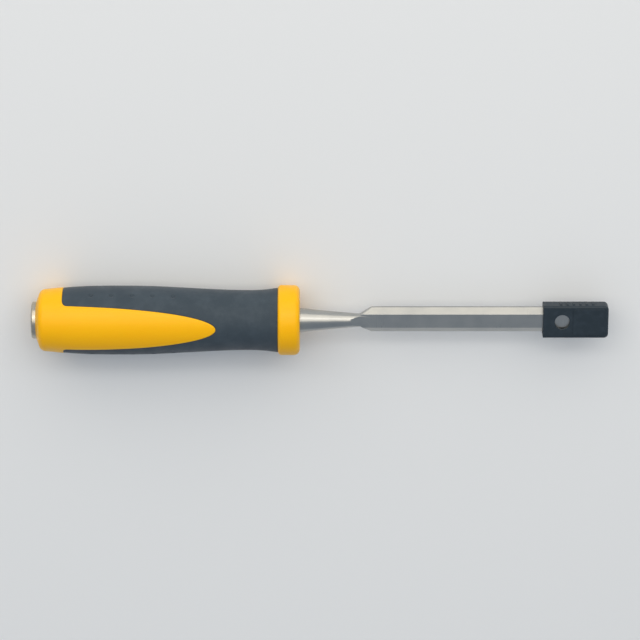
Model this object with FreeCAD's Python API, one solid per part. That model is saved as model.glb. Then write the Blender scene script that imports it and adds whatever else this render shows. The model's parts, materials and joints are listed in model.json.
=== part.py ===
"""A 12 mm bevel-edged bench chisel with a two-part moulded handle, a steel striking cap and a blade guard.

Every piece is drawn on the tool's own axis: s runs along it from the rear face of the handle towards the
cutting edge, z is up on the side of the bevels, and y is across. place() then moves each piece so that the
chisel lies on z = 0 with the middle of its length at x = 0. All sizes are in millimetres and degrees.
"""

import FreeCAD, Part
import math
import os

from FreeCAD import Vector

# Handle, along the axis
handle_length = 123.8           # rear face of the collar to the front face of the ring
collar_length = 12.7
ring_length = 10.3
tongue_length = 71.8            # front of the collar to the tip of the tongue
belly_from_collar = 31.0        # widest place of the grip
waist_from_ring = 13.0          # narrowest place of the grip

# Handle, across the axis
collar_radius = 15.5            # at the front of the collar
collar_corner_radius = 14.4     # where the side of the collar meets its end
collar_crown = 2.0              # how far the end of the collar falls away from its rear face
ring_radius = 16.5
belly_radius = 16.2
waist_radius = 14.1
grip_front_radius = 15.2
flare_slope = 0.16              # of the grip's side where it meets the ring
core_radius = 11.6              # hard body under the soft grip
tongue_rise = 0.25              # hard plastic stands proud of the soft grip
tongue_half_width = 10.7
tongue_root_radius = 2.0        # plan corner between the collar and the tongue

# Rounded edges of the handle
collar_corner_round = 3.0
ring_front_round = 2.8
ring_rear_round = 1.7
rim_round = 0.4                 # where the hard plastic meets the soft grip

# Dimples in the soft grip
dimples_per_row = 5
dimple_pitch = 9.6
dimple_radius = 1.2
dimple_depth = 0.7
dimple_angle = 64.0             # round the grip, from the middle of the tongue
first_dimple_from_collar = 13.5

# Striking cap
cap_radius = 8.75
cap_stand = 2.2                 # proud of the rear face of the collar
cap_seat = 1.6                  # let into the collar
cap_edge_round = 0.9
shank_radius = 2.6
shank_length = 18.0             # behind the cap's seat
shank_tip = 1.0                 # chamfer on its end
barb_count = 3
barb_pitch = 4.5
barb_height = 0.7

# Blade
blade_width = 12.0
blade_thickness = 4.0
blade_length = 109.2            # shoulder corner to cutting edge
shoulder_length = 5.5           # small end of the neck to the shoulder corner
back_below_axis = 2.5
side_land = 1.3                 # square edge left under each side bevel
side_bevel_angle = 45.0
end_bevel_angle = 25.0
shoulder_angle = 32.3           # each side of the axis
shoulder_corner_round = 0.8
top_runout_radius = 24.0        # hollow that leads the top of the blade up into the neck
top_runout_start = 5.0          # past the small end of the neck
back_runout_radius = 6.0        # the same under the blade, where the flat back ends on the neck
back_runout_start = 0.0

# Neck, bolster seat and tang
neck_length = 28.2              # ring to the small end
neck_rear_radius = 5.75
neck_front_radius = 3.1
neck_hollow = 0.14              # how far the neck's side is drawn in
neck_end_radius = 2.2           # where the neck dies away inside the blade, at the shoulder corner
bolster_seat = 7.0              # neck's thick end let into the ring
tang_length = 70.0
tang_rear_width = 4.0
tang_front_width = 7.0

# Blade guard
guard_cover = 28.6              # length of blade inside it
guard_clearance = 0.25          # each side of the blade
guard_end_clearance = 0.6
guard_end_wall = 1.5
guard_wall = 1.75
guard_side_wall = 1.65
guard_edge_round = 1.0
guard_corner_round = 2.0
window_radius = 3.55
window_from_mouth = 9.0
pad_from_mouth = 14.0
pad_end_margin = 1.4
pad_side_margin = 1.6
pad_rise = 0.35
pad_corner_round = 1.5
rib_count = 6
rib_pitch = 3.03
rib_width = 1.1
rib_rise = 0.4
rib_height = 4.4
rib_corner_round = 0.3
first_rib_from_mouth = 8.4

# Places along the axis
ring_rear = handle_length - ring_length
neck_front = handle_length + neck_length
shoulder_corner = neck_front + shoulder_length
edge = shoulder_corner + blade_length
guard_mouth = edge - guard_cover
guard_end = edge + guard_end_clearance + guard_end_wall
core_front = handle_length - bolster_seat
blade_top = blade_thickness - back_below_axis
grip_rear_radius = collar_radius - tongue_rise

# Where the finished chisel lies
middle = (guard_end - cap_stand) / 2
rest_height = max(ring_radius, belly_radius, collar_radius)

AXIS = Vector(1, 0, 0)
REACH = 400.0                   # longer than the tool, for cutting shapes
MARGIN = 1.0                    # how far a cutting shape passes the face it cuts through
HAIR = 0.001                    # nothing real is as small as this


def rounded_path(corners, to_point, closed=False):
    """The edges through (a, b, round) corners, with a tangent arc at each corner whose round isn't 0."""
    edges = []
    starts = []
    ends = []
    count = len(corners)
    for i, (a, b, radius) in enumerate(corners):
        here = Vector(a, b, 0)
        start = end = here
        if radius > 0:
            before = Vector(*corners[i - 1][:2], 0) - here
            after = Vector(*corners[(i + 1) % count][:2], 0) - here
            before.normalize()
            after.normalize()
            half_turn = before.getAngle(after) / 2
            inward = before + after
            inward.normalize()
            start = here + before * (radius / math.tan(half_turn))
            end = here + after * (radius / math.tan(half_turn))
            bend = here + inward * (radius / math.sin(half_turn) - radius)
            edges.append(Part.Arc(to_point(start), to_point(bend), to_point(end)).toShape())
        starts.append(start)
        ends.append(end)
    for i in range(count if closed else count - 1):
        following = starts[(i + 1) % count]
        if ends[i].distanceToPoint(following) > HAIR:
            edges.append(Part.LineSegment(to_point(ends[i]), to_point(following)).toShape())
    return edges


def filled(edges):
    """The flat face inside a closed loop of edges."""
    return Part.Face(Part.Wire(Part.__sortEdges__(edges)))


def in_profile(point):
    """A point of a turned profile: along the axis, and out from it."""
    return Vector(point.x, 0, point.y)


def turned(edges):
    """A solid of revolution from the edges of a closed profile."""
    return filled(edges).revolve(Vector(0, 0, 0), AXIS, 360)


def upright(edges, bottom, top):
    """A prism on a closed plan outline, from one height to another."""
    face = filled(edges)
    face.translate(Vector(0, 0, bottom))
    return face.extrude(Vector(0, 0, top - bottom))


def plan(corners, bottom, top):
    """A prism on the (s, y, round) corners of a plan outline."""
    return upright(rounded_path(corners, Vector, closed=True), bottom, top)


def across(corners, start, end):
    """A prism along the axis on the (y, z, round) corners of its section."""
    edges = rounded_path(corners, lambda point: Vector(start, point.x, point.y), closed=True)
    return filled(edges).extrude(Vector(end - start, 0, 0))


def rectangle(start, end, half_width, corner_round=0):
    """The corners of a plan outline centred on the axis."""
    return [(start, -half_width, corner_round), (end, -half_width, corner_round),
            (end, half_width, corner_round), (start, half_width, corner_round)]


def section(half_width, bottom, top, corner_round=0):
    """The corners of a rectangular section across the axis."""
    return [(-half_width, bottom, corner_round), (half_width, bottom, corner_round),
            (half_width, top, corner_round), (-half_width, top, corner_round)]


def place(shape):
    """From the tool's own axis to where the chisel lies."""
    placed = shape.copy()
    placed.translate(Vector(-middle, 0, rest_height))
    return placed


def grip_outline(rise):
    """The long curve of the handle between collar and ring, raised by rise."""
    collar_slope = (collar_radius - collar_corner_radius) / (collar_length - collar_crown)
    stations = [
        (collar_length, grip_rear_radius, collar_slope),
        (collar_length + belly_from_collar, belly_radius, 0.0),
        (ring_rear - waist_from_ring, waist_radius, 0.0),
        (ring_rear, grip_front_radius, flare_slope),
    ]
    curve = Part.BSplineCurve()
    curve.interpolate(
        Points=[Vector(s, 0, radius + rise) for s, radius, slope in stations],
        Tangents=[Vector(1, 0, slope) for s, radius, slope in stations],
        TangentFlags=[True] * len(stations),
    )
    return curve.toShape()


def tongue_prism():
    """Everything above the tongue's outline: half an ellipse with a rounded corner at the collar."""
    root = collar_length + tongue_root_radius
    outer = tongue_half_width + tongue_root_radius
    corner = tongue_root_radius * (1 - math.sqrt(0.5))
    ellipse = Part.Ellipse(Vector(root, 0, 0), tongue_length - tongue_root_radius, tongue_half_width)
    edges = [Part.Arc(ellipse, -math.pi / 2, math.pi / 2).toShape()]
    for side in (1, -1):
        start = Vector(collar_length, side * outer, 0)
        bend = Vector(collar_length + corner, side * (tongue_half_width + corner), 0)
        edges.append(Part.Arc(start, bend, Vector(root, side * tongue_half_width, 0)).toShape())
    rear = Vector(collar_length, -outer, 0), Vector(collar_length, outer, 0)
    edges.append(Part.LineSegment(*rear).toShape())
    return upright(edges, 0, REACH)


def make_moulding():
    """The hard core before the steel parts are let in: collar, tongue, body under the grip, and ring."""
    rear = rounded_path([(0, 0, 0), (0, cap_radius, 0),
                         (collar_crown, collar_corner_radius, collar_corner_round),
                         (collar_length, collar_radius, 0)], in_profile)
    front = rounded_path([(ring_rear, grip_front_radius + tongue_rise, 0),
                          (ring_rear, ring_radius, ring_rear_round),
                          (handle_length, ring_radius, ring_front_round), (handle_length, 0, 0)], in_profile)
    on_axis = Part.LineSegment(Vector(handle_length, 0, 0), Vector(0, 0, 0)).toShape()
    envelope = turned(rear + [grip_outline(tongue_rise)] + front + [on_axis])

    rear_centre = Vector(collar_length, 0, 0)
    grip_length = ring_rear - collar_length
    grip_space = Part.makeCylinder(REACH, grip_length, rear_centre, AXIS)
    body = Part.makeCylinder(core_radius, grip_length, rear_centre, AXIS)
    moulding = envelope.cut(grip_space.cut([body, tongue_prism()]))
    return moulding.makeFillet(rim_round, rim_edges(moulding))


def rim_edges(moulding):
    """The outer edge of the hard plastic where it meets the soft grip: round the collar and the tongue."""
    found = []
    for part_edge in moulding.Edges:
        box = part_edge.BoundBox
        runs_up = box.XLength < HAIR and box.YLength < HAIR
        in_length = box.XMin > collar_length - HAIR and box.XMax < ring_rear - HAIR
        ends = part_edge.Vertexes
        outside = min(math.hypot(end.Y, end.Z) for end in ends) > core_radius + HAIR
        over_tongue = box.XLength < HAIR and part_edge.CenterOfMass.z > 0
        if in_length and outside and not runs_up and not over_tongue:
            found.append(part_edge)
    return found


def bevelled_bar(start, end):
    """The blade's section, flat below and bevelled along both top edges, from start to end."""
    half_width = blade_width / 2
    land_top = side_land - back_below_axis
    flat_half = half_width - (blade_top - land_top) / math.tan(math.radians(side_bevel_angle))
    corners = []
    for side in (1, -1):
        corners += [(side * half_width, -back_below_axis, 0), (side * half_width, land_top, 0),
                    (side * flat_half, blade_top, 0)][::side]
    return across(corners, start, end)


def neck():
    """The round tapered neck with its seat in the ring, dying away inside the blade."""
    thick_end = Vector(handle_length, 0, neck_rear_radius)
    thin_end = Vector(neck_front, 0, neck_front_radius)
    half_way = (thick_end + thin_end) * 0.5 - Vector(0, 0, neck_hollow)
    outline = [Vector(shoulder_corner, 0, neck_end_radius), Vector(shoulder_corner, 0, 0),
               Vector(core_front, 0, 0), Vector(core_front, 0, neck_rear_radius)]
    edges = [Part.Arc(thick_end, half_way, thin_end).toShape(),
             Part.LineSegment(thin_end, outline[0]).toShape(),
             Part.LineSegment(outline[-1], thick_end).toShape()]
    for start, end in zip(outline, outline[1:]):
        edges.append(Part.LineSegment(start, end).toShape())
    return turned(edges)


def tang():
    """The square tapered tang, wider towards the bolster."""
    ends = []
    for s, width in ((core_front - tang_length, tang_rear_width), (core_front, tang_front_width)):
        half = width / 2
        points = [Vector(s, y, z) for y, z in ((-half, -half), (half, -half), (half, half), (-half, half))]
        ends.append(Part.makePolygon(points + points[:1]))
    return Part.makeLoft(ends, True, True)


def ground_away(start, height, radius, side):
    """What grinding takes off above (side 1) or below (side -1) a flat, with a hollow behind its start."""
    lowest = height if side > 0 else height - REACH
    flat = Part.makeBox(REACH, REACH, REACH, Vector(start, -REACH / 2, lowest))
    centre = Vector(start, -REACH / 2, height + side * radius)
    return [flat, Part.makeCylinder(radius, REACH, centre, Vector(0, 1, 0))]


def make_blade():
    """One forging: blade, shoulder, neck, bolster seat and tang."""
    half_width = blade_width / 2
    point = shoulder_corner - half_width / math.tan(math.radians(shoulder_angle))
    outline = [(point, 0, 0), (shoulder_corner, -half_width, shoulder_corner_round), (edge, -half_width, 0),
               (edge, half_width, 0), (shoulder_corner, half_width, shoulder_corner_round)]
    body = bevelled_bar(point - MARGIN, edge).common(plan(outline, -REACH, REACH))
    forging = body.fuse(neck())
    forging = forging.cut(ground_away(neck_front + top_runout_start, blade_top, top_runout_radius, 1))
    back_start = neck_front + back_runout_start
    forging = forging.cut(ground_away(back_start, -back_below_axis, back_runout_radius, -1))

    # the end bevel rises from the cutting edge at the back face
    high = blade_top + MARGIN
    run = (high + back_below_axis) / math.tan(math.radians(end_bevel_angle))
    bevel = [(edge, -back_below_axis, 0), (edge - run, high, 0), (edge + MARGIN, high, 0),
             (edge + MARGIN, -back_below_axis, 0)]
    edges = rounded_path(bevel, lambda point: Vector(point.x, -REACH / 2, point.y), closed=True)
    forging = forging.cut(filled(edges).extrude(Vector(0, REACH, 0)))
    return forging.fuse(tang()).removeSplitter()


def make_cap():
    """The steel striking cap: a disc with an eased edge, and a barbed shank behind it."""
    profile = [(-cap_stand, 0, 0), (-cap_stand, cap_radius, cap_edge_round), (cap_seat, cap_radius, 0),
               (cap_seat, shank_radius, 0)]
    barb_end = cap_seat + shank_length - shank_tip
    first_barb = barb_end - barb_count * barb_pitch
    for i in range(barb_count):
        start = first_barb + i * barb_pitch
        profile += [(start, shank_radius, 0), (start, shank_radius + barb_height, 0)]
    shank_end = cap_seat + shank_length
    profile += [(barb_end, shank_radius, 0), (shank_end, shank_radius - shank_tip, 0), (shank_end, 0, 0)]
    return turned(rounded_path(profile, in_profile, closed=True))


def make_grip(moulding):
    """The soft overmould round the core, with its window and its two rows of dimples."""
    outline = grip_outline(0)
    ends = [outline.firstVertex().Point, Vector(collar_length, 0, 0), Vector(ring_rear, 0, 0),
            outline.lastVertex().Point]
    profile = [outline] + [Part.LineSegment(*pair).toShape() for pair in zip(ends, ends[1:])]
    sleeve = turned(profile).cut(moulding)
    tools = []
    for side in (1, -1):
        for i in range(dimples_per_row):
            tools.append(dimple(collar_length + first_dimple_from_collar + i * dimple_pitch, side))
    return sleeve.cut(tools)


def dimple(s, side):
    """A shallow round-bottomed dimple, sunk from the grip's surface at s."""
    outline = grip_outline(0)
    upright_line = Part.LineSegment(Vector(s, 0, 0), Vector(s, 0, REACH)).toShape()
    surface = outline.distToShape(upright_line)[1][0][0].z
    ball_radius = (dimple_radius ** 2 + dimple_depth ** 2) / (2 * dimple_depth)
    out = surface + ball_radius - dimple_depth
    angle = math.radians(side * dimple_angle)
    return Part.makeSphere(ball_radius, Vector(s, out * math.sin(angle), out * math.cos(angle)))


def make_guard():
    """The sleeve over the cutting edge: round window, raised pad, side ribs."""
    half_width = blade_width / 2 + guard_clearance + guard_side_wall
    bottom = -back_below_axis - guard_clearance - guard_wall
    top = blade_top + guard_clearance + guard_wall
    outline = [(guard_mouth, -half_width, 0), (guard_end, -half_width, guard_corner_round),
               (guard_end, half_width, guard_corner_round), (guard_mouth, half_width, 0)]
    sleeve = across(section(half_width, bottom, top, guard_edge_round), guard_mouth, guard_end)
    sleeve = sleeve.common(plan(outline, bottom, top))

    pad_outline = rectangle(guard_mouth + pad_from_mouth, guard_end - pad_end_margin,
                            half_width - pad_side_margin, pad_corner_round)
    pad = plan(pad_outline, top - guard_wall / 2, top + pad_rise)
    additions = [pad]
    middle_height = (bottom + top) / 2
    for i in range(rib_count):
        s = guard_mouth + first_rib_from_mouth + i * rib_pitch
        rib = rectangle(s - rib_width / 2, s + rib_width / 2, half_width + rib_rise, rib_corner_round)
        additions.append(plan(rib, middle_height - rib_height / 2, middle_height + rib_height / 2))
    sleeve = sleeve.fuse(additions).removeSplitter()

    pocket = section(blade_width / 2 + guard_clearance, bottom + guard_wall, top - guard_wall)
    cavity = across(pocket, guard_mouth - MARGIN, edge + guard_end_clearance)
    window = Part.makeCylinder(window_radius, top + MARGIN,
                               Vector(guard_mouth + window_from_mouth, 0, 0), Vector(0, 0, 1))
    return sleeve.cut([cavity, window])


def write(name, shape):
    """One placed solid to its own file, with its volume and box printed."""
    solid = place(shape.Solids[0])
    if len(shape.Solids) != 1 or not solid.isValid():
        raise ValueError(f"{name}: {len(shape.Solids)} solids, valid {solid.isValid()}")
    solid.exportStep(f"parts/{name}.step")
    box = solid.optimalBoundingBox()
    spans = [f"{low:.2f} to {high:.2f}" for low, high in
             ((box.XMin, box.XMax), (box.YMin, box.YMax), (box.ZMin, box.ZMax))]
    print(f"{name}: {solid.Volume:.0f} mm3, x {spans[0]}, y {spans[1]}, z {spans[2]}")


os.makedirs("parts", exist_ok=True)
blade = make_blade()
cap = make_cap()
moulding = make_moulding()
core = moulding.cut([blade, cap])
grip = make_grip(moulding)
guard = make_guard()
for name, shape in (("blade", blade), ("striking_cap", cap), ("handle_core", core), ("soft_grip", grip),
                    ("blade_guard", guard)):
    write(name, shape)
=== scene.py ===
"""Looks of a 12 mm bevel-edged bench chisel, built round its CAD frame.

Lengths are in metres. A piece is shaped in the tool's own directions, with x along the axis from the rear
face of the handle towards the cutting edge, y across and z up from the axis on the side of the bevels, and
finish_piece() then moves its mesh to where the chisel lies.
"""

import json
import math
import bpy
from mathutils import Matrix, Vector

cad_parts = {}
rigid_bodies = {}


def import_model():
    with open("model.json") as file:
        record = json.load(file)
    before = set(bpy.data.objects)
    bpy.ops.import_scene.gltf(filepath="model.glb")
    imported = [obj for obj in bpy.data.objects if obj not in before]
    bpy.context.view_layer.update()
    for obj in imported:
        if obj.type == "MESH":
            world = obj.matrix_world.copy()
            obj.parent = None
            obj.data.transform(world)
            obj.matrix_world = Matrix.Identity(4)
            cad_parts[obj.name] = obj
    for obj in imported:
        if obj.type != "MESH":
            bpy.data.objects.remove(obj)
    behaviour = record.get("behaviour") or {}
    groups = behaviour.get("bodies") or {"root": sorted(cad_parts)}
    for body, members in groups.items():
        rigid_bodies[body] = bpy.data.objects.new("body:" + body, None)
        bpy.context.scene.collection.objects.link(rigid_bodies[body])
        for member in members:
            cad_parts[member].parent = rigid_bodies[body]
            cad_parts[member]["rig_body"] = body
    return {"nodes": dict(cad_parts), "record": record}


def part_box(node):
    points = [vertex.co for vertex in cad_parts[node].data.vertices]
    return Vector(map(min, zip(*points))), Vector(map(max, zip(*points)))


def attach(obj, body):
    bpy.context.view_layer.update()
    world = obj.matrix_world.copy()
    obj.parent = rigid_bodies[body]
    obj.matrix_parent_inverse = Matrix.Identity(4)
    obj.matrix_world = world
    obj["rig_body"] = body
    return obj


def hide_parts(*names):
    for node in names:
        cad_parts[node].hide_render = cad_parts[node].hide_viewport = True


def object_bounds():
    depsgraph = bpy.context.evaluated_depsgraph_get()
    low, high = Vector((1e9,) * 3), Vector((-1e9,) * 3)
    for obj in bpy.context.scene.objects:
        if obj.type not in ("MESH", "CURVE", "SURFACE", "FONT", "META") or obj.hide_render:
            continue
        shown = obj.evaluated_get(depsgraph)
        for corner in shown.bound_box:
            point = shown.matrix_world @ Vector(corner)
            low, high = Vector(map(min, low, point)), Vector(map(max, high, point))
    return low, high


bl_info = {
    "name": "Bench Chisel",
    "version": (1, 0, 0),
    "blender": (4, 5, 0),
    "location": "3D View > Sidebar > Chisel",
    "description": "Builds the pieces and finishes of a bench chisel on its CAD frame",
    "category": "Add Mesh",
}

import bmesh
import bpy
from bpy.props import FloatProperty, FloatVectorProperty, IntProperty, PointerProperty
from bpy.types import Operator, Panel, PropertyGroup
from mathutils import Matrix, Vector

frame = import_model()
cad_low, cad_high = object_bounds()
mounts = {mount["name"]: mount for mount in frame["record"]["mounts"]}
core_low, core_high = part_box("handle_core")
grip_low, grip_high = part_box("soft_grip")
guard_low, guard_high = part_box("blade_guard")
cap_low, cap_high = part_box("striking_cap")
cutting_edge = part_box("blade")[1].x

REAR = core_low.x  # rear face of the handle
AXIS_HEIGHT = mounts["clip_band"]["pos_m"][2]
TO_FRAME = Matrix.Translation((REAR, 0, AXIS_HEIGHT))
TINY = 1e-7  # points nearer than this are one point
MM_PER_METRE = 1000
PER_MM = MM_PER_METRE  # pattern scale of one repeat a millimetre
FACTOR, FIRST, SECOND, MIXED = 0, 6, 7, 2  # sockets of a Mix node that mixes colours: three inputs, output


def mm(value):
    """Millimetres in metres."""
    return value / MM_PER_METRE


JOIN = mm(0.001)  # edges of two skins nearer than this are one edge
TURNED_STEPS = 96  # round the cap, and round the neck
TANG_OVERLAP = mm(0.5)  # how far the tang runs on into the bolster


def linear(hex_colour):
    """An sRGB hex colour as linear red, green, blue and alpha."""
    channels = []
    for i in (1, 3, 5):
        value = int(hex_colour[i:i + 2], 16) / 255
        channels.append(value / 12.92 if value <= 0.04045 else ((value + 0.055) / 1.055) ** 2.4)
    return (*channels, 1.0)


def size(name, description, default):
    """A length that a user may change."""
    return FloatProperty(name=name, description=description, default=default, min=0,
                         subtype="DISTANCE", unit="LENGTH", precision=5)


def angle(name, description, degrees):
    """An angle that a user may change."""
    return FloatProperty(name=name, description=description, default=math.radians(degrees),
                         subtype="ANGLE", unit="ROTATION")


def power(name, description, watts):
    """A light's power that a user may change."""
    return FloatProperty(name=name, description=description, default=watts, min=0, unit="POWER")


def colour(name, description, default):
    """A colour that a user may change."""
    return FloatVectorProperty(name=name, description=description, default=linear(default), size=4,
                               min=0, max=1, subtype="COLOR")


class HandleSizes(PropertyGroup):
    """Sizes that the hard handle and the soft grip share, and those of the hard handle."""
    rear_radius: size("Rear radius", "Radius of the grip where it meets the collar", mm(15.25))
    belly_radius: size("Belly radius", "Radius at the widest place of the grip", mm(16.2))
    belly_from_collar: size("Belly place", "Collar to the widest place of the grip", mm(31))
    waist_radius: size("Waist radius", "Radius at the narrowest place of the grip", mm(14.1))
    waist_from_ring: size("Waist place", "Narrowest place of the grip to the ring", mm(13))
    front_radius: size("Front radius", "Radius of the grip where it meets the ring", mm(15.2))
    core_radius: size("Core radius", "Radius of the hard body under the grip", mm(11.6))
    rise: size("Rise", "How far the hard plastic stands proud of the grip", mm(0.25))
    rim_round: size("Rim round", "Rounding of the hard plastic beside the grip", mm(0.4))
    collar_radius: size("Collar radius", "Radius at the front of the collar", mm(15.5))
    collar_corner_radius: size("Collar corner radius", "Radius where the side meets the end", mm(14.4))
    collar_crown: size("Collar crown", "How far the end falls away from the rear face", mm(2))
    collar_corner_round: size("Collar corner round", "Rounding between the side and the end", mm(3))
    ring_rear_round: size("Ring rear round", "Rounding of the ring towards the grip", mm(1.7))
    ring_front_round: size("Ring front round", "Rounding of the ring towards the blade", mm(2.8))
    bolster_seat: size("Bolster seat", "How far the neck is let into the ring", mm(7))
    window_length: size("Window length", "Collar to the tip of the window", mm(71.8))
    window_half_width: size("Window half width", "Half the window's width beside the collar", mm(10.7))
    window_root_round: size("Window root round", "Corner between the window and the collar", mm(2))


class GripSizes(PropertyGroup):
    """Sizes of the soft grip alone."""
    rim_round: size("Rim round", "Rounding of the grip's edges beside the hard plastic", mm(0.3))
    dimple_count: IntProperty(name="Dimples", description="Dimples in each row", default=5, min=1)
    dimple_pitch: size("Dimple pitch", "Distance from one dimple to the next", mm(9.6))
    dimple_radius: size("Dimple radius", "Radius of a dimple at the surface", mm(1.2))
    dimple_depth: size("Dimple depth", "Depth of a dimple", mm(0.7))
    first_dimple: size("First dimple", "Collar to the middle of the first dimple", mm(13.5))
    dimple_angle: angle("Dimple angle", "Middle of the window to a row of dimples", 64)


class CapSizes(PropertyGroup):
    """Sizes of the striking cap."""
    radius: size("Radius", "Radius of the cap", mm(8.75))
    stand: size("Stand", "How far the cap stands proud of the handle", core_low.x - cap_low.x)
    seat: size("Seat", "How far the cap is let into the handle", mm(1.6))
    edge_round: size("Edge round", "Rounding of the struck edge", mm(0.9))
    shank_radius: size("Shank radius", "Radius of the shank inside the handle", mm(2.6))
    barb_height: size("Barb height", "How far the barbs stand out from the shank", mm(0.7))
    barb_pitch: size("Barb pitch", "Distance from one barb to the next", mm(4.5))
    barb_count: IntProperty(name="Barbs", description="Barbs on the shank", default=3, min=1)
    shank_tip: size("Shank tip", "Chamfer on the end of the shank", mm(1))


class BladeSizes(PropertyGroup):
    """Sizes of the blade, its neck and its tang."""
    width: size("Width", "Width across the cutting edge", mm(12))
    side_land: size("Side land", "Square edge under each side bevel", mm(1.3))
    thickness: size("Thickness", "Flat back to the top of the blade", mm(4))
    back_below_axis: size("Back", "Flat back below the axis of the handle", mm(2.5))
    length: size("Length", "Shoulder corner to the cutting edge", mm(109.2))
    shoulder_angle: angle("Shoulder angle", "Each side of the shoulder to the axis", 32.3)
    end_angle: angle("End bevel", "End bevel to the flat back", 25)
    shoulder_ease: size("Shoulder ease", "Rounding of the shoulder's upright corners", mm(0.25))
    neck_length: size("Neck length", "Ring to the small end of the neck", mm(28.2))
    neck_rear_radius: size("Neck rear radius", "Radius of the neck where it leaves the handle", mm(5.75))
    neck_front_radius: size("Neck front radius", "Radius of the small end of the neck", mm(3.1))
    neck_hollow: size("Neck hollow", "How far the side of the neck is drawn in", mm(0.14))
    neck_end_radius: size("Neck end radius", "Radius where the neck dies away in the blade", mm(2.2))
    top_hollow: size("Top hollow", "Radius of the grinding that leads up into the neck", mm(24))
    top_hollow_start: size("Top hollow start", "Small end of the neck to the hollow", mm(5))
    back_hollow: size("Back hollow", "Radius of the grinding behind the flat back", mm(6))
    tang_length: size("Tang length", "Length of the tang behind the bolster", mm(70))
    tang_rear_width: size("Tang rear width", "Width of the tang at its end", mm(4))
    tang_front_width: size("Tang front width", "Width of the tang at the bolster", mm(7))
    ease: size("Eased edges", "Rounding of the ground edges", mm(0.12))


class GuardSizes(PropertyGroup):
    """Sizes of the blade guard."""
    wall: size("Wall", "Thickness of the upper and lower walls", mm(1.75))
    side_wall: size("Side wall", "Thickness of the side walls", mm(1.65))
    end_wall: size("End wall", "Thickness of the closed end", mm(1.5))
    edge_round: size("Edge round", "Rounding of the long edges and the closed end", mm(1))
    corner_round: size("Corner round", "Plan corners of the closed end", mm(2))
    window_radius: size("Window radius", "Radius of the round window", mm(3.55))
    window_from_mouth: size("Window place", "Mouth to the middle of the window", mm(9))
    pad_from_mouth: size("Pad place", "Mouth to the raised pad", mm(14))
    pad_end_margin: size("Pad end margin", "Pad to the closed end", mm(1.4))
    pad_side_margin: size("Pad side margin", "Pad to each side", mm(1.6))
    pad_corner_round: size("Pad corner", "Plan corners of the pad", mm(1.5))
    pad_rise: size("Pad rise", "How far the pad stands up", mm(0.35))
    rib_count: IntProperty(name="Ribs", description="Ribs on each side", default=6, min=1)
    rib_pitch: size("Rib pitch", "Distance from one rib to the next", mm(3.03))
    rib_width: size("Rib width", "Width of a rib along the guard", mm(1.1))
    rib_height: size("Rib height", "Height of a rib", mm(4.4))
    rib_rise: size("Rib rise", "How far a rib stands out", mm(0.4))
    first_rib: size("First rib", "Mouth to the middle of the first rib", mm(8.4))
    ease: size("Eased edges", "Rounding of the small edges", mm(0.15))


class Finishes(PropertyGroup):
    """Colours of the materials."""
    hard_plastic: colour("Hard plastic", "Colour of the collar, tongue and ring", "#FFC000")
    hard_plastic_deep: colour("Hard plastic, deep", "Colour where the plastic is thicker", "#FDB700")
    soft_grip: colour("Soft grip", "Colour of the soft grip", "#33404B")
    soft_grip_worn: colour("Soft grip, worn", "Colour of the grip where it is handled", "#3B4853")
    blade_steel: colour("Blade steel", "Colour of the ground steel", "#B1B2B0")
    blade_steel_dull: colour("Blade steel, dull", "Colour of the steel where it has dulled", "#A5A7A7")
    cap_steel: colour("Cap steel", "Colour of the turned steel", "#BFB9AB")
    cap_steel_dull: colour("Cap steel, dull", "Colour of the cap where it is scuffed", "#A39D91")
    guard_plastic: colour("Guard plastic", "Colour of the guard", "#1F2C36")
    guard_plastic_worn: colour("Guard plastic, worn", "Colour of the guard where it is rubbed", "#293642")
    floor: colour("Floor", "Colour of the floor", "#E5E8EC")


class StageSettings(PropertyGroup):
    """How the chisel is shown."""
    turn: angle("Turn", "How far the chisel is seen turned about its own axis", 19)
    distance: size("Camera distance", "Camera to the chisel", 1.6)
    filled: FloatProperty(name="Filled share", default=0.9, min=0.1, max=1, subtype="FACTOR",
                          description="Share of the picture's width that the chisel takes")
    sensor: size("Sensor", "Width of the camera's sensor", mm(36))
    floor_width: size("Floor", "Width of the floor", 6)
    ceiling_angle: angle("Ceiling light", "Large light off the upright", 43)
    ceiling_distance: size("Ceiling light distance", "Large light to the chisel", 1.6)
    ceiling_length: size("Ceiling light length", "Large light along the chisel", 3.2)
    ceiling_width: size("Ceiling light width", "Large light across the chisel", 2.5)
    ceiling_power: power("Ceiling light power", "Power of the large light", 35)
    ceiling_tint: colour("Ceiling light tint", "Colour of the large light", "#FFF4E1")
    strip_angle: angle("Strip light", "Narrow light off the upright", 36)
    strip_distance: size("Strip light distance", "Narrow light to the chisel", 1.5)
    strip_length: size("Strip light length", "Narrow light along the chisel", 2.2)
    strip_width: size("Strip light width", "Narrow light across the chisel", 0.22)
    strip_power: power("Strip light power", "Power of the narrow light", 2.9)
    strip_tint: colour("Strip light tint", "Colour of the narrow light", "#FFFCF8")
    sky: colour("Sky", "Colour of the light from all round", "#D2DEEC")
    sky_strength: FloatProperty(name="Sky strength", default=0.5, min=0,
                                description="Strength of the light from all round")


# Making meshes


def ease(bm, edges, offset, segments):
    """Rounds edges with a tangent strip."""
    bmesh.ops.bevel(bm, geom=edges, offset=offset, offset_type="OFFSET", segments=segments,
                    profile=0.5, affect="EDGES", material=-1)


def sharp_edges(bm, degrees):
    """The edges whose two faces turn by more than an angle."""
    return [edge for edge in bm.edges if edge.is_manifold and edge.calc_face_angle() > math.radians(degrees)]


def block(low, high):
    """A box between two corners."""
    bm = bmesh.new()
    low, high = Vector(low), Vector(high)
    bmesh.ops.create_cube(bm, size=1, matrix=Matrix.LocRotScale((low + high) / 2, None, high - low))
    return bm


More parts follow.
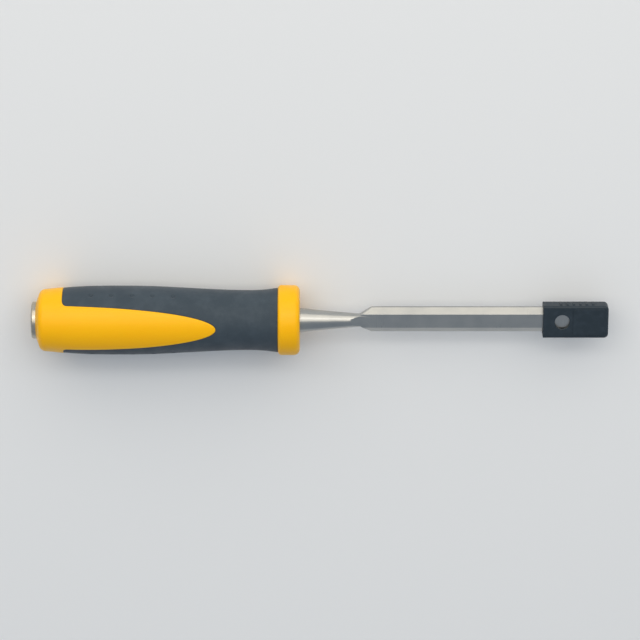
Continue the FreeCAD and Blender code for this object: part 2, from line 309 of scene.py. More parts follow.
def half_space(bm, point, normal):
    """Cuts away what lies beyond a plane, and closes the cut."""
    cut = bmesh.ops.bisect_plane(bm, geom=bm.verts[:] + bm.edges[:] + bm.faces[:], dist=TINY,
                                 plane_co=point, plane_no=normal, clear_outer=True)
    rim = [item for item in cut["geom_cut"] if isinstance(item, bmesh.types.BMEdge)]
    bmesh.ops.contextual_create(bm, geom=rim)


def drum(centre, radius, length, segments, off_upright=0.0):
    """A cylinder, upright or tipped sideways."""
    bm = bmesh.new()
    bmesh.ops.create_cone(bm, cap_ends=True, segments=segments, radius1=radius, radius2=radius, depth=length,
                          matrix=Matrix.Translation(centre) @ Matrix.Rotation(off_upright, 4, "X"))
    return bm


def draw_profile(bm, points, rounds=None):
    """Draws a chain of edges through (x, radius) points and returns its parts.

    rounds gives the radius and the segments of the arc at some of the corners.
    """
    older = {*bm.verts, *bm.edges}
    verts = [bm.verts.new((x, 0, radius)) for x, radius in points]
    for pair in zip(verts, verts[1:]):
        bm.edges.new(pair)
    for i, (radius, segments) in (rounds or {}).items():
        before, corner, after = (Vector(points[j]) for j in (i - 1, i, i + 1))
        turn = (corner - before).angle(after - corner)
        bmesh.ops.bevel(bm, geom=[verts[i]], offset=radius * math.tan(turn / 2), offset_type="OFFSET",
                        segments=segments, profile=0.5, affect="VERTICES", material=-1)
    return [item for item in (*bm.verts, *bm.edges) if item not in older]


def turn_profile(bm, geometry, steps, start=0.0, sweep=math.tau):
    """Spins a profile round the axis from a start angle, measured from the top."""
    verts = [item for item in geometry if isinstance(item, bmesh.types.BMVert)]
    bmesh.ops.rotate(bm, verts=verts, cent=(0, 0, 0), matrix=Matrix.Rotation(-start, 3, "X"))
    bmesh.ops.spin(bm, geom=geometry, cent=(0, 0, 0), axis=(-1, 0, 0), angle=sweep, steps=steps,
                   use_merge=sweep == math.tau)


def draw_in(geometry, radius):
    """Moves vertices straight in to one radius round the axis."""
    for item in geometry:
        if isinstance(item, bmesh.types.BMVert):
            inward = radius / math.hypot(item.co.y, item.co.z)
            item.co = (item.co.x, item.co.y * inward, item.co.z * inward)


def upright_edges(bm, x_above=-math.inf):
    """The edges that run along z beyond a place on x."""
    found = []
    for edge in bm.edges:
        start, end = (vert.co for vert in edge.verts)
        if abs(start.x - end.x) < TINY and abs(start.y - end.y) < TINY and start.x > x_above:
            found.append(edge)
    return found


def new_object(name, data):
    """A new object in the scene."""
    holder = bpy.data.objects.new(name, data)
    bpy.context.scene.collection.objects.link(holder)
    return holder


def mesh_object(name, bm):
    """A new object that takes over a bmesh."""
    mesh = bpy.data.meshes.new(name)
    bm.to_mesh(mesh)
    bm.free()
    return new_object(name, mesh)


def combined(first, second, operation, join_flats=True, flat_within=0.5):
    """The boolean of two bmeshes, as a new one; faces that lie flat within some degrees may be joined."""
    holders = [mesh_object("first", first), mesh_object("second", second)]
    modifier = holders[0].modifiers.new("combine", "BOOLEAN")
    modifier.operation = operation
    modifier.solver = "EXACT"
    modifier.object = holders[1]
    result = bmesh.new()
    result.from_object(holders[0], bpy.context.evaluated_depsgraph_get())
    for holder in holders:
        bpy.data.meshes.remove(holder.data)
    bmesh.ops.remove_doubles(result, verts=result.verts, dist=TINY)
    if join_flats:
        bmesh.ops.dissolve_limit(result, angle_limit=math.radians(flat_within), verts=result.verts,
                                 edges=result.edges)
    return result


def finish_piece(bm, name, node, material, smooth_angle=30, flat_faces=False):
    """Moves a finished mesh to its place and lets it stand for a CAD node."""
    bmesh.ops.transform(bm, matrix=TO_FRAME, verts=bm.verts)
    bmesh.ops.recalc_face_normals(bm, faces=bm.faces)
    piece = mesh_object(name, bm)
    piece.data.shade_smooth()
    piece.data.set_sharp_from_angle(angle=math.radians(smooth_angle))
    piece.data.materials.append(material)
    if flat_faces:
        piece.modifiers.new("flat faces", "WEIGHTED_NORMAL").keep_sharp = True
    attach(piece, frame["nodes"][node]["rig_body"])
    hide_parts(node)


# Materials


def set_inputs(material, node, inputs):
    """Sets or links a node's inputs; a node given as a value stands for its first output."""
    for socket, value in inputs.items():
        if isinstance(value, bpy.types.Node):
            value = value.outputs[0]
        if isinstance(value, bpy.types.NodeSocket):
            material.node_tree.links.new(value, node.inputs[socket])
        else:
            node.inputs[socket].default_value = value


def add_node(material, kind, inputs=None, **settings):
    """Adds a node with its settings and links."""
    node = material.node_tree.nodes.new(kind)
    for setting, value in settings.items():
        setattr(node, setting, value)
    set_inputs(material, node, inputs or {})
    return node


def new_material(name):
    """A material with its shader, and the place on the object."""
    material = bpy.data.materials.new(name)
    material.use_nodes = True
    place = add_node(material, "ShaderNodeTexCoord").outputs["Object"]
    return material, material.node_tree.nodes["Principled BSDF"], place


def moulded_abs(finishes):
    """ABS, injection moulded in a polished mould: even and satin glossy, with the faintest orange peel."""
    material, shader, place = new_material("moulded_yellow_abs")
    drawn_out = add_node(material, "ShaderNodeMapping",
                         {"Vector": place, "Scale": (PER_MM / 24, PER_MM / 14, PER_MM / 14)})
    flow = add_node(material, "ShaderNodeTexNoise", {"Vector": drawn_out, "Scale": 1, "Detail": 2})
    base = add_node(material, "ShaderNodeMix", {FACTOR: flow, FIRST: finishes.hard_plastic,
                                                SECOND: finishes.hard_plastic_deep}, data_type="RGBA")
    handling = add_node(material, "ShaderNodeTexNoise", {"Vector": place, "Scale": PER_MM / 5, "Detail": 5})
    gloss = add_node(material, "ShaderNodeMapRange", {"Value": handling, "From Min": 0.35, "From Max": 0.65,
                                                      "To Min": 0.3, "To Max": 0.42})
    peel = add_node(material, "ShaderNodeTexNoise", {"Vector": place, "Scale": PER_MM / 1.1, "Detail": 1})
    normal = add_node(material, "ShaderNodeBump", {"Height": peel, "Distance": mm(0.012)})
    set_inputs(material, shader, {"Base Color": base.outputs[MIXED], "Roughness": gloss, "Normal": normal,
                                  "IOR": 1.53, "Specular IOR Level": 0.25, "Subsurface Weight": 0.1,
                                  "Subsurface Radius": (1, 0.55, 0.1), "Subsurface Scale": mm(1)})
    return material


def moulded_tpe(finishes):
    """Thermoplastic rubber, spark-eroded mould: matt, with a fine pebble grain, smoother where handled."""
    material, shader, place = new_material("moulded_slate_tpe")
    handling = add_node(material, "ShaderNodeTexNoise", {"Vector": place, "Scale": PER_MM / 9, "Detail": 6,
                                                         "Roughness": 0.65})
    worn = add_node(material, "ShaderNodeMapRange", {"Value": handling, "From Min": 0.45, "From Max": 0.7})
    base = add_node(material, "ShaderNodeMix", {FACTOR: worn, FIRST: finishes.soft_grip,
                                                SECOND: finishes.soft_grip_worn}, data_type="RGBA")
    gloss = add_node(material, "ShaderNodeMapRange", {"Value": handling, "From Min": 0.35, "From Max": 0.65,
                                                      "To Min": 0.74, "To Max": 0.6})
    # the real grain is near 0.15 mm, and is drawn at 0.45 mm so that it shows
    pebbles = add_node(material, "ShaderNodeTexVoronoi", {"Vector": place, "Scale": PER_MM / 0.45},
                       feature="SMOOTH_F1")
    normal = add_node(material, "ShaderNodeBump", {"Height": pebbles, "Distance": mm(0.06), "Strength": 0.8})
    set_inputs(material, shader, {"Base Color": base.outputs[MIXED], "Roughness": gloss, "Normal": normal,
                                  "Specular IOR Level": 0.4, "Sheen Weight": 0.1, "Sheen Roughness": 0.5})
    return material


def ground_steel(finishes):
    """Chrome vanadium steel, ground across the blade and lacquered: fine lines, soft streaks of light."""
    material, shader, place = new_material("ground_blade_steel")
    # grinding lines are near 0.05 mm apart, and are drawn at 0.3 mm so that they show
    across = add_node(material, "ShaderNodeMapping",
                      {"Vector": place, "Scale": (PER_MM / 0.3, PER_MM / 16, PER_MM / 16)})
    lines = add_node(material, "ShaderNodeTexNoise", {"Vector": across, "Scale": 1, "Detail": 3,
                                                      "Roughness": 0.7})
    gloss = add_node(material, "ShaderNodeMapRange", {"Value": lines, "From Min": 0.3, "From Max": 0.7,
                                                      "To Min": 0.27, "To Max": 0.36})
    stain = add_node(material, "ShaderNodeTexNoise", {"Vector": place, "Scale": PER_MM / 9, "Detail": 5})
    dulled = add_node(material, "ShaderNodeMapRange", {"Value": stain, "From Min": 0.4, "From Max": 0.75})
    base = add_node(material, "ShaderNodeMix", {FACTOR: dulled, FIRST: finishes.blade_steel,
                                                SECOND: finishes.blade_steel_dull}, data_type="RGBA")
    strokes = add_node(material, "ShaderNodeMapping",
                       {"Vector": place, "Scale": (PER_MM / 2.5, PER_MM / 30, PER_MM / 30)})
    passes = add_node(material, "ShaderNodeTexNoise", {"Vector": strokes, "Scale": 1, "Detail": 2})
    waves = add_node(material, "ShaderNodeBump", {"Height": passes, "Distance": mm(0.01), "Strength": 0.3})
    normal = add_node(material, "ShaderNodeBump", {"Height": lines, "Distance": mm(0.004), "Strength": 0.5,
                                                   "Normal": waves})
    set_inputs(material, shader, {"Base Color": base.outputs[MIXED], "Roughness": gloss, "Normal": normal,
                                  "Metallic": 1, "Coat Weight": 0.12, "Coat Roughness": 0.15})
    return material


def turned_steel(finishes):
    """Mild steel, turned and tumbled: fine rings round the axis, a soft shine and a few dull scuffs."""
    material, shader, place = new_material("turned_cap_steel")
    centred = add_node(material, "ShaderNodeMapping", {"Vector": place, "Location": (0, 0, -AXIS_HEIGHT),
                                                       "Scale": (0, 1, 1)})
    radius = add_node(material, "ShaderNodeVectorMath", {0: centred}, operation="LENGTH").outputs["Value"]
    # the tool's feed is near 0.1 mm a turn, and is drawn at 0.35 mm so that it shows
    rings = add_node(material, "ShaderNodeTexNoise", {"W": radius, "Scale": PER_MM / 0.35, "Detail": 2},
                     noise_dimensions="1D")
    scuffs = add_node(material, "ShaderNodeTexNoise", {"Vector": place, "Scale": PER_MM / 1.6, "Detail": 6,
                                                       "Roughness": 0.7})
    dulled = add_node(material, "ShaderNodeMapRange", {"Value": scuffs, "From Min": 0.45, "From Max": 0.8})
    base = add_node(material, "ShaderNodeMix", {FACTOR: dulled, FIRST: finishes.cap_steel,
                                                SECOND: finishes.cap_steel_dull}, data_type="RGBA")
    gloss = add_node(material, "ShaderNodeMapRange", {"Value": rings, "From Min": 0.3, "From Max": 0.7,
                                                      "To Min": 0.2, "To Max": 0.4})
    normal = add_node(material, "ShaderNodeBump", {"Height": rings, "Distance": mm(0.03), "Strength": 0.8})
    set_inputs(material, shader, {"Base Color": base.outputs[MIXED], "Roughness": gloss, "Normal": normal,
                                  "Metallic": 1})
    return material


def moulded_pe(finishes):
    """Polyethylene, injection moulded: waxy and satin, rubbed a little paler where it is handled."""
    material, shader, place = new_material("moulded_navy_polyethylene")
    handling = add_node(material, "ShaderNodeTexNoise", {"Vector": place, "Scale": PER_MM / 3, "Detail": 6,
                                                         "Roughness": 0.65})
    rubbed = add_node(material, "ShaderNodeMapRange", {"Value": handling, "From Min": 0.45,
                                                       "From Max": 0.75})
    base = add_node(material, "ShaderNodeMix", {FACTOR: rubbed, FIRST: finishes.guard_plastic,
                                                SECOND: finishes.guard_plastic_worn}, data_type="RGBA")
    gloss = add_node(material, "ShaderNodeMapRange", {"Value": handling, "From Min": 0.35, "From Max": 0.65,
                                                      "To Min": 0.42, "To Max": 0.54})
    grain = add_node(material, "ShaderNodeTexNoise", {"Vector": place, "Scale": PER_MM / 0.4, "Detail": 2})
    normal = add_node(material, "ShaderNodeBump", {"Height": grain, "Distance": mm(0.015), "Strength": 0.6})
    set_inputs(material, shader, {"Base Color": base.outputs[MIXED], "Roughness": gloss, "Normal": normal,
                                  "IOR": 1.51, "Specular IOR Level": 0.35})
    return material


def studio_floor(finishes):
    """Matt painted board: pale and even."""
    material, shader, place = new_material("painted_studio_board")
    tooth = add_node(material, "ShaderNodeTexNoise", {"Vector": place, "Scale": PER_MM / 1.5, "Detail": 2})
    gloss = add_node(material, "ShaderNodeMapRange", {"Value": tooth, "From Min": 0.3, "From Max": 0.7,
                                                      "To Min": 0.62, "To Max": 0.78})
    set_inputs(material, shader, {"Base Color": finishes.floor, "Roughness": gloss})
    return material


# Handle: the shape that the hard plastic and the soft grip share


class HandleShape:
    """Where the skins of the handle lie: their radius along the axis, the window and the outer border.

    A skin starts as a flat grid. Its columns start on the window's outline, from one side of the collar
    round the tip to the other, and fan out to the seam underneath and to the ring.
    """

    ROOT_COLUMNS = 4                # on each rounded root corner of the window
    SEAM_COLUMNS = 52               # on each long side, tied to the seam underneath
    RING_COLUMNS = 36               # on each side of the tip, tied to the ring
    GRIP_ROWS = 36                  # from the window's outline to the border
    TONGUE_ROWS = 10                # from the window's outline to the tongue's middle line
    REAR_SLOPE = 0.103              # of the grip's side at the collar, in line with the collar's side
    FRONT_SLOPE = 0.16              # of the grip's side at the ring
    SPINE_SEAM = 1.6                # window's tip to the last seam column on the spine, in half widths
    SPINE_TIP = 0.45                # window's tip to the end of the spine, in half widths

    def __init__(self, sizes):
        self.sizes = sizes
        self.rear = grip_low.x - REAR
        self.front = grip_high.x - REAR
        self.half = self.ROOT_COLUMNS + self.SEAM_COLUMNS + self.RING_COLUMNS
        belly = self.rear + sizes.belly_from_collar
        waist = self.front - sizes.waist_from_ring
        self.stations = [(self.rear, sizes.rear_radius, self.REAR_SLOPE),
                         (belly, sizes.belly_radius, 0.0),
                         (waist, sizes.waist_radius, 0.0),
                         (self.front, sizes.front_radius, self.FRONT_SLOPE)]

    def radius(self, x):
        """Radius of the grip: a cubic between each two stations."""
        for (start, first, leaves), (end, second, arrives) in zip(self.stations, self.stations[1:]):
            if x <= end:
                break
        span = end - start
        t = min(max((x - start) / span, 0.0), 1.0)
        rise = second - first
        return (first + t * span * leaves + t * t * (3 * rise - span * (2 * leaves + arrives))
                + t * t * t * (span * (leaves + arrives) - 2 * rise))

    def along(self, column):
        """How many columns a column is from the nearer side of the collar, and on which side it is."""
        side = -1 if column < self.half else 1
        return min(column, 2 * self.half - column), side

    def window(self, column):
        """Place along the axis and angle of the window's outline."""
        sizes = self.sizes
        root = self.rear + sizes.window_root_round
        along, side = self.along(column)
        if along < self.ROOT_COLUMNS:
            turn = math.pi / 2 * along / self.ROOT_COLUMNS
            x = root - sizes.window_root_round * math.cos(turn)
            y = sizes.window_half_width + sizes.window_root_round * (1 - math.sin(turn))
        else:
            turn = math.pi / 2 * (along - self.ROOT_COLUMNS) / (self.half - self.ROOT_COLUMNS)
            x = root + (sizes.window_length - sizes.window_root_round) * math.sin(turn)
            y = sizes.window_half_width * math.cos(turn)
        return x, side * math.asin(y / self.radius(x))

    def past_seam(self, column):
        """Share of the way from the last column tied to the seam to the tip, or below 0 before it."""
        along = self.along(column)[0]
        return (along - self.ROOT_COLUMNS - self.SEAM_COLUMNS) / self.RING_COLUMNS

    def spread(self, column, end):
        """Place along the axis as on the window's outline, but drawn out to end at the last seam column."""
        last = self.window(self.ROOT_COLUMNS + self.SEAM_COLUMNS)[0]
        return self.rear + (self.window(column)[0] - self.rear) / (last - self.rear) * (end - self.rear)

    def border(self, column):
        """Place and angle on the outer border: the seam underneath, the edge at the ring, and back."""
        side = self.along(column)[1]
        past = self.past_seam(column)
        if past >= 0:
            return self.front, side * math.pi * (1 - past)
        return self.spread(column, self.front), side * math.pi

    def spine(self, column):
        """Place on the tongue's middle line."""
        tip = self.rear + self.sizes.window_length
        last = tip - self.sizes.window_half_width * self.SPINE_SEAM
        end = tip - self.sizes.window_half_width * self.SPINE_TIP
        past = self.past_seam(column)
        return (last + (end - last) * past if past >= 0 else self.spread(column, last)), 0.0

    def add_skin(self, bm, rows, target):
        """A flat grid from the window's outline to a target line; x and y are place and angle."""
        grid = bmesh.ops.create_grid(bm, x_segments=2 * self.half, y_segments=rows, size=0.5)
        for vert in grid["verts"]:
            column = round((vert.co.x + 0.5) * 2 * self.half)
            start = Vector(self.window(column))
            vert.co = start.lerp(Vector(target(column)), vert.co.y + 0.5).to_3d()
        return grid["verts"]

    def wrap(self, verts, rise=0.0, radius=None):
        """Wraps flat skin round the axis, on the grip's own curve or at one radius."""
        for vert in verts:
            x, turned = vert.co.xy
            out = self.radius(x) + rise if radius is None else radius
            vert.co = (x, out * math.sin(turned), out * math.cos(turned))


# Hard handle


def shank_profile(sizes):
    """The (x, radius) points of the cap's barbed shank, from the cap to the tip."""
    end = cap_high.x - REAR
    barb_end = end - sizes.shank_tip
    points = [(sizes.seat, sizes.shank_radius)]
    for i in range(sizes.barb_count, 0, -1):
        barb = barb_end - i * sizes.barb_pitch
        points += [(barb, sizes.shank_radius), (barb, sizes.shank_radius + sizes.barb_height)]
    return points + [(barb_end, sizes.shank_radius), (end, sizes.shank_radius - sizes.shank_tip), (end, 0)]


def tang(sizes, bolster_rear):
    """The square tapered tang, let a little way into the bolster."""
    front = sizes.tang_front_width / 2
    bm = block((bolster_rear - sizes.tang_length, -front, -front),
               (bolster_rear + TANG_OVERLAP, front, front))
    thin_end = [vert for vert in bm.verts if vert.co.x < bolster_rear]
    narrow = sizes.tang_rear_width / sizes.tang_front_width
    bmesh.ops.scale(bm, verts=thin_end, vec=(1, narrow, narrow))
    return bm


class CHISEL_OT_handle(Operator):
    """Build the hard plastic of the handle: collar, tongue, body under the grip, and ring"""
    bl_idname = "chisel.handle"
    bl_label = "Hard Handle"

    def execute(self, context):
        sizes = context.scene.chisel_handle
        cap = context.scene.chisel_cap
        blade = context.scene.chisel_blade
        shape = HandleShape(sizes)
        end = core_high.x - REAR
        bolster_rear = end - sizes.bolster_seat
        root_angle = abs(shape.window(0)[1])
        bm = bmesh.new()

        collar = shank_profile(cap)[::-1] + [(cap.seat, cap.radius), (0, cap.radius),
                                             (sizes.collar_crown, sizes.collar_corner_radius),
                                             (shape.rear, sizes.collar_radius)]
        rounds = {-2: (sizes.collar_corner_round, 8)}
        turn_profile(bm, draw_profile(bm, collar, rounds), 2 * shape.TONGUE_ROWS, start=-root_angle,
                     sweep=2 * root_angle)
        turn_profile(bm, draw_profile(bm, collar, rounds), 2 * shape.GRIP_ROWS, start=root_angle,
                     sweep=math.tau - 2 * root_angle)
        shape.wrap(shape.add_skin(bm, shape.TONGUE_ROWS, shape.spine), rise=sizes.rise)
        bmesh.ops.remove_doubles(bm, verts=bm.verts, dist=JOIN)

        rim = [edge for edge in bm.edges if edge.is_boundary]
        wall = bmesh.ops.extrude_edge_only(bm, edges=rim)
        draw_in(wall["geom"], sizes.core_radius)
        shape.wrap(shape.add_skin(bm, shape.GRIP_ROWS, shape.border), radius=sizes.core_radius)

        ring_radius = mm(mounts["clip_band"]["dims"]["r_mm"])
        ring = [(shape.front, sizes.core_radius), (shape.front, ring_radius), (end, ring_radius),
                (end, blade.neck_rear_radius), (bolster_rear, blade.neck_rear_radius), (bolster_rear, 0)]
        rounds = {1: (sizes.ring_rear_round, 6), 2: (sizes.ring_front_round, 8)}
        turn_profile(bm, draw_profile(bm, ring, rounds), 2 * shape.RING_COLUMNS)
        bmesh.ops.remove_doubles(bm, verts=bm.verts, dist=JOIN)
        bmesh.ops.recalc_face_normals(bm, faces=bm.faces)
        ease(bm, rim, sizes.rim_round, segments=3)
        bm = combined(bm, tang(blade, bolster_rear), "DIFFERENCE", join_flats=False)
        finish_piece(bm, "hard_moulding", "handle_core", moulded_abs(context.scene.chisel_finishes),
                     smooth_angle=40)
        return {"FINISHED"}


# Soft grip


FINER_SKIN = ((mm(2.6), 3), (mm(1.8), 1))  # reach round a dimple, and cuts made in the skin there
DIMPLE_LIP = mm(0.25)  # rounding outside a dimple's radius
DIMPLE_WALL = 0.75  # share of a dimple's radius that slopes to its floor


def refine(bm, shape, dimples, reach, cuts):
    """Divides the flat skin near each dimple."""
    near = set()
    for x, turned in dimples:
        radius = shape.radius(x)
        for face in bm.faces:
            middle = face.calc_center_median()
            if math.hypot(middle.x - x, (middle.y - turned) * radius) < reach:
                near.update(face.edges)
    bmesh.ops.subdivide_edges(bm, edges=list(near), cuts=cuts, use_grid_fill=True)


def press_dimples(bm, shape, sizes, dimples):
    """Presses the dimples into the skin, each with a rounded lip."""
    reach = sizes.dimple_radius + DIMPLE_LIP
    slope = sizes.dimple_radius * DIMPLE_WALL + DIMPLE_LIP
    for x, turned in dimples:
        outward = Vector((0, math.sin(turned), math.cos(turned)))
        centre = Vector((x, 0, 0)) + outward * shape.radius(x)
        for vert in bm.verts:
            off = (vert.co - centre).length
            if off < reach:
                t = min((reach - off) / slope, 1.0)
                vert.co -= outward * sizes.dimple_depth * t * t * (3 - 2 * t)


class CHISEL_OT_grip(Operator):
    """Build the soft grip with its window and dimples"""
    bl_idname = "chisel.grip"
    bl_label = "Soft Grip"

    def execute(self, context):
        handle = context.scene.chisel_handle
        sizes = context.scene.chisel_grip
        shape = HandleShape(handle)
        dimples = [(shape.rear + sizes.first_dimple + i * sizes.dimple_pitch, side * sizes.dimple_angle)
                   for side in (-1, 1) for i in range(sizes.dimple_count)]
        bm = bmesh.new()
        shape.add_skin(bm, shape.GRIP_ROWS, shape.border)
        for reach, cuts in FINER_SKIN:
            refine(bm, shape, dimples, reach, cuts)
        shape.wrap(bm.verts)
        bmesh.ops.remove_doubles(bm, verts=bm.verts, dist=JOIN)
        press_dimples(bm, shape, sizes, dimples)
        rim = [edge for edge in bm.edges if edge.is_boundary]
        inner = bmesh.ops.extrude_face_region(bm, geom=bm.faces[:], use_keep_orig=True)
        draw_in(inner["geom"], handle.core_radius)
        bmesh.ops.recalc_face_normals(bm, faces=bm.faces)
        ease(bm, rim, sizes.rim_round, segments=3)
        finish_piece(bm, "grip_overmould", "soft_grip", moulded_tpe(context.scene.chisel_finishes),
                     smooth_angle=40)
        return {"FINISHED"}


# Striking cap


class CHISEL_OT_cap(Operator):
    """Build the striking cap and its barbed shank"""
    bl_idname = "chisel.cap"
    bl_label = "Striking Cap"

    def execute(self, context):
        sizes = context.scene.chisel_cap
        profile = [(-sizes.stand, 0), (-sizes.stand, sizes.radius), (sizes.seat, sizes.radius)]
        profile += shank_profile(sizes)
        bm = bmesh.new()
        turn_profile(bm, draw_profile(bm, profile, {1: (sizes.edge_round, 6)}), TURNED_STEPS)
        bmesh.ops.remove_doubles(bm, verts=bm.verts, dist=TINY)
        finish_piece(bm, "cap_disc", "striking_cap", turned_steel(context.scene.chisel_finishes))
        return {"FINISHED"}


# Blade guard


class CHISEL_OT_guard(Operator):
    """Build the blade guard with its pocket, window, pad and ribs"""
    bl_idname = "chisel.guard"
    bl_label = "Blade Guard"

    def execute(self, context):
        sizes = context.scene.chisel_guard
        mouth = guard_low.x - REAR
        end = guard_high.x - REAR
        half_width = guard_high.y - sizes.rib_rise
        bottom = guard_low.z - AXIS_HEIGHT
        top = guard_high.z - AXIS_HEIGHT - sizes.pad_rise
        middle = (bottom + top) / 2

        sleeve = block((mouth, -half_width, bottom), (end, half_width, top))
        ease(sleeve, upright_edges(sleeve, x_above=mouth + TINY), sizes.corner_round, segments=6)
        rims = [edge for edge in sharp_edges(sleeve, degrees=80)
                if abs(edge.verts[0].co.z - edge.verts[1].co.z) < TINY
                and max(vert.co.x for vert in edge.verts) > mouth + TINY]
        ease(sleeve, rims, sizes.edge_round, segments=5)

        pad = block((mouth + sizes.pad_from_mouth, sizes.pad_side_margin - half_width, middle),
                    (end - sizes.pad_end_margin, half_width - sizes.pad_side_margin, top + sizes.pad_rise))
        ease(pad, upright_edges(pad), sizes.pad_corner_round, segments=5)
        sleeve = combined(sleeve, pad, "UNION")
        along, out, up = sizes.rib_width / 2, half_width + sizes.rib_rise, sizes.rib_height / 2
        for i in range(sizes.rib_count):
            x = mouth + sizes.first_rib + i * sizes.rib_pitch
            rib = block((x - along, -out, middle - up), (x + along, out, middle + up))
            sleeve = combined(sleeve, rib, "UNION")

        inside = half_width - sizes.side_wall
        pocket = block((mouth - sizes.wall, -inside, bottom + sizes.wall),
                       (end - sizes.end_wall, inside, top - sizes.wall))
        sleeve = combined(sleeve, pocket, "DIFFERENCE")
        depth = top + sizes.wall
        window_middle = (mouth + sizes.window_from_mouth, 0, depth / 2)
        window = drum(window_middle, sizes.window_radius, depth, segments=64)
        sleeve = combined(sleeve, window, "DIFFERENCE")
        ease(sleeve, sharp_edges(sleeve, degrees=40), sizes.ease, segments=2)
        finish_piece(sleeve, "guard_sleeve", "blade_guard", moulded_pe(context.scene.chisel_finishes),
                     flat_faces=True)
        return {"FINISHED"}


# Blade


class CHISEL_OT_blade(Operator):
    """Build the blade with its shoulder, neck, bolster and tang"""
    bl_idname = "chisel.blade"
    bl_label = "Blade"

    ARC_SHARE = 0.97                # of the radius that would take up the neck's whole length

    def execute(self, context):
        sizes = context.scene.chisel_blade
        edge = cutting_edge - REAR
        half_width = sizes.width / 2
        handle_end = core_high.x - REAR
        bolster_rear = handle_end - context.scene.chisel_handle.bolster_seat
        neck_front = handle_end + sizes.neck_length
        shoulder = edge - sizes.length
        point = shoulder - half_width / math.tan(sizes.shoulder_angle)
        back = -sizes.back_below_axis
        top = back + sizes.thickness
        reach = 4 * sizes.thickness  # clear of the blade on every side

        bar = block((point - reach, -half_width, back), (edge, half_width, top))
        upper = [item for item in bar.edges if all(vert.co.z > 0 for vert in item.verts)
                 and item.verts[0].co.y == item.verts[1].co.y]
        ease(bar, upper, sizes.thickness - sizes.side_land, segments=1)
        for side in (-1, 1):
            half_space(bar, (point, 0, 0), (-math.sin(sizes.shoulder_angle),
                                            side * math.cos(sizes.shoulder_angle), 0))
        corners = [item for item in upright_edges(bar, point + TINY)
                   if item.verts[0].co.x < shoulder + TINY]
        ease(bar, corners, sizes.shoulder_ease, segments=3)
        half_space(bar, (edge, 0, back), (math.sin(sizes.end_angle), 0, math.cos(sizes.end_angle)))
        ground = [item for item in sharp_edges(bar, degrees=20)
                  if all(point + TINY < vert.co.x < edge - TINY for vert in item.verts)]
        ease(bar, ground, sizes.ease, segments=2)

        middle = (handle_end + neck_front) / 2
        drawn_in = (sizes.neck_rear_radius + sizes.neck_front_radius) / 2 - 2 * sizes.neck_hollow
        hollow_radius = sizes.neck_length ** 2 / (8 * sizes.neck_hollow)
        profile = [(bolster_rear, 0), (bolster_rear, sizes.neck_rear_radius),
                   (handle_end, sizes.neck_rear_radius), (middle, drawn_in),
                   (neck_front, sizes.neck_front_radius), (shoulder, sizes.neck_end_radius), (shoulder, 0)]
        rounds = {3: (self.ARC_SHARE * hollow_radius, 12)}
        neck = bmesh.new()
        turn_profile(neck, draw_profile(neck, profile, rounds), TURNED_STEPS)
        bmesh.ops.remove_doubles(neck, verts=neck.verts, dist=TINY)
        bmesh.ops.recalc_face_normals(neck, faces=neck.faces)
        hollow = neck_front + sizes.top_hollow_start
        top_wheel = (hollow, 0, top + sizes.top_hollow)
        back_wheel = (neck_front, 0, back - sizes.back_hollow)
        for ground_off in (block((hollow, -reach, top), (edge, reach, reach)),
                           drum(top_wheel, sizes.top_hollow, 2 * reach, 360, math.pi / 2),
                           block((neck_front, -reach, -reach), (edge, reach, back)),
                           drum(back_wheel, sizes.back_hollow, 2 * reach, 180, math.pi / 2)):
            neck = combined(neck, ground_off, "DIFFERENCE", join_flats=False)

        forging = combined(bar, neck, "UNION", join_flats=False)
        forging = combined(forging, tang(sizes, bolster_rear), "UNION", join_flats=False)
        finish_piece(forging, "forged_blade", "blade", ground_steel(context.scene.chisel_finishes),
                     flat_faces=True)
        return {"FINISHED"}


# Stage


def add_softbox(name, settings, target):
    """A rectangular light that faces a target from an angle off the upright, across the chisel."""
    off_upright, distance, length, width, watts, tint = (
        getattr(settings, f"{name}_{key}")
        for key in ("angle", "distance", "length", "width", "power", "tint"))
    light = bpy.data.lights.new(name, "AREA")
    light.shape = "RECTANGLE"
    light.size = length
    light.size_y = width
    light.energy = watts
    light.color = tint[:3]
    holder = new_object(name, light)
    away = Vector((0, math.sin(off_upright), math.cos(off_upright)))
    holder.location = target + away * distance
    holder.rotation_euler = away.to_track_quat("Z", "Y").to_euler()


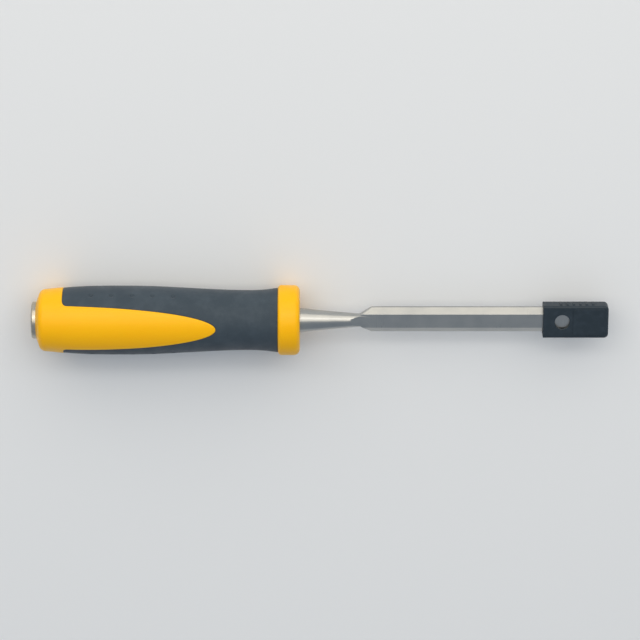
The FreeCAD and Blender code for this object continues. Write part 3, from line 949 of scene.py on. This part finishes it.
class CHISEL_OT_stage(Operator):
    """Add the floor, the lights and the camera"""
    bl_idname = "chisel.stage"
    bl_label = "Stage"

    def execute(self, context):
        scene = context.scene
        settings = scene.chisel_stage
        bm = bmesh.new()
        bmesh.ops.create_grid(bm, x_segments=1, y_segments=1, size=settings.floor_width / 2)
        floor = mesh_object("floor", bm)
        floor.data.materials.append(studio_floor(scene.chisel_finishes))

        middle = Vector(((cad_low.x + cad_high.x) / 2, 0, AXIS_HEIGHT))
        add_softbox("ceiling", settings, middle)
        add_softbox("strip", settings, middle)
        world = bpy.data.worlds.new("studio")
        world.use_nodes = True
        background = world.node_tree.nodes["Background"]
        background.inputs["Color"].default_value = settings.sky
        background.inputs["Strength"].default_value = settings.sky_strength
        scene.world = world
        scene.view_settings.view_transform = "Standard"

        camera = new_object("camera", bpy.data.cameras.new("camera"))
        away = Vector((0, math.sin(settings.turn), math.cos(settings.turn)))
        camera.matrix_world = (Matrix.Translation(middle + away * settings.distance)
                               @ Matrix.Rotation(-settings.turn, 4, "X"))
        camera.data.sensor_width = settings.sensor * MM_PER_METRE
        shown = (cad_high.x - cad_low.x) / settings.filled
        camera.data.lens = camera.data.sensor_width * settings.distance / shown
        scene.camera = camera
        return {"FINISHED"}


class CHISEL_PT_panel(Panel):
    """The chisel's pieces in the sidebar"""
    bl_idname = "CHISEL_PT_panel"
    bl_label = "Bench Chisel"
    bl_space_type = "VIEW_3D"
    bl_region_type = "UI"
    bl_category = "Chisel"

    def draw(self, context):
        for operator in OPERATORS:
            self.layout.operator(operator.bl_idname)
        for group in GROUPS:
            settings = getattr(context.scene, group)
            box = self.layout.box()
            for name in settings.__annotations__:
                box.prop(settings, name)


OPERATORS = (CHISEL_OT_handle, CHISEL_OT_grip, CHISEL_OT_cap, CHISEL_OT_blade, CHISEL_OT_guard,
             CHISEL_OT_stage)
GROUPS = {"chisel_handle": HandleSizes, "chisel_grip": GripSizes, "chisel_cap": CapSizes,
          "chisel_blade": BladeSizes, "chisel_guard": GuardSizes, "chisel_finishes": Finishes,
          "chisel_stage": StageSettings}


def register():
    """Registers the classes and hangs the settings on the scene."""
    for kind in (*GROUPS.values(), *OPERATORS, CHISEL_PT_panel):
        bpy.utils.register_class(kind)
    for name, kind in GROUPS.items():
        setattr(bpy.types.Scene, name, PointerProperty(type=kind))


def unregister():
    """Takes the settings and the classes away again."""
    for name in GROUPS:
        delattr(bpy.types.Scene, name)
    for kind in reversed((*GROUPS.values(), *OPERATORS, CHISEL_PT_panel)):
        bpy.utils.unregister_class(kind)


def main():
    """Registers the classes and builds everything in order."""
    register()
    for operator in OPERATORS:
        group, name = operator.bl_idname.split(".")
        getattr(getattr(bpy.ops, group), name)()


if __name__ == "__main__":
    main()
